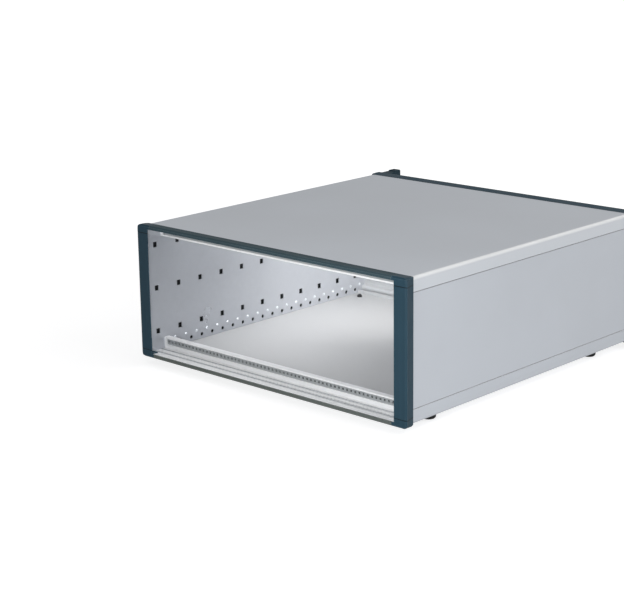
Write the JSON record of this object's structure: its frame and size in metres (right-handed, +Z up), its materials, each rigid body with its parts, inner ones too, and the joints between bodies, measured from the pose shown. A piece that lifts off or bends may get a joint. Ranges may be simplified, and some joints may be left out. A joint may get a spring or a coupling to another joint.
{
  "type": "rack mount case",
  "caption": "Low desktop case for plug-in modules: dark moulded front and rear frames, folded grey covers, slotted rails, perforated side plates.",
  "frame": {"origin": "middle of the box's base: under the middle of the case, on the surface it stands on", "axes": "+Z up, +Y from the open front to the back, +X to the right as seen from the front"},
  "size_m": [0.35, 0.3894, 0.1432],
  "materials": {
    "frame": "satin, fine grain",
    "bumper": "matt",
    "cover": "matt powder coat",
    "side_panel": "matt powder coat",
    "side_plate": "plated sheet, satin",
    "rail": "drawn, bright",
    "strip": "plated",
    "rear_panel": "anodised, satin",
    "foot": "matt",
    "rivet": "matt",
    "screws": "plated"
  },
  "bodies": {
    "root": {"front_trim_top": "frame", "front_trim_bottom": "frame", "front_post_left": "frame", "front_post_right": "frame", "front_corner_top_left": "frame", "front_corner_top_right": "frame", "front_corner_bottom_left": "frame", "front_corner_bottom_right": "frame", "rear_trim_top": "frame", "rear_trim_bottom": "frame", "rear_post_left": "frame", "rear_post_right": "frame", "rear_corner_top_left": "frame", "rear_corner_top_right": "frame", "rear_corner_bottom_left": "frame", "rear_corner_bottom_right": "frame", "rear_bumper_top_left": "bumper", "rear_bumper_top_right": "bumper", "rear_bumper_bottom_left": "bumper", "rear_bumper_bottom_right": "bumper", "top_cover": "cover", "bottom_cover": "cover", "side_panel_left": "side_panel", "side_panel_right": "side_panel", "side_plate_left": "side_plate", "side_plate_right": "side_plate", "front_rail_top": "rail", "front_rail_bottom": "rail", "rear_rail_top": "rail", "rear_rail_bottom": "rail", "front_strip_top": "strip", "front_strip_bottom": "strip", "rear_strip_top": "strip", "rear_strip_bottom": "strip", "rear_panel": "rear_panel", "foot_front_left": "foot", "foot_front_right": "foot", "foot_rear_left": "foot", "foot_rear_right": "foot", "foot_rivets": "rivet", "rail_screws": "screws", "panel_screws": "screws", "bumper_screws": "screws"}
  },
  "joints": []
}
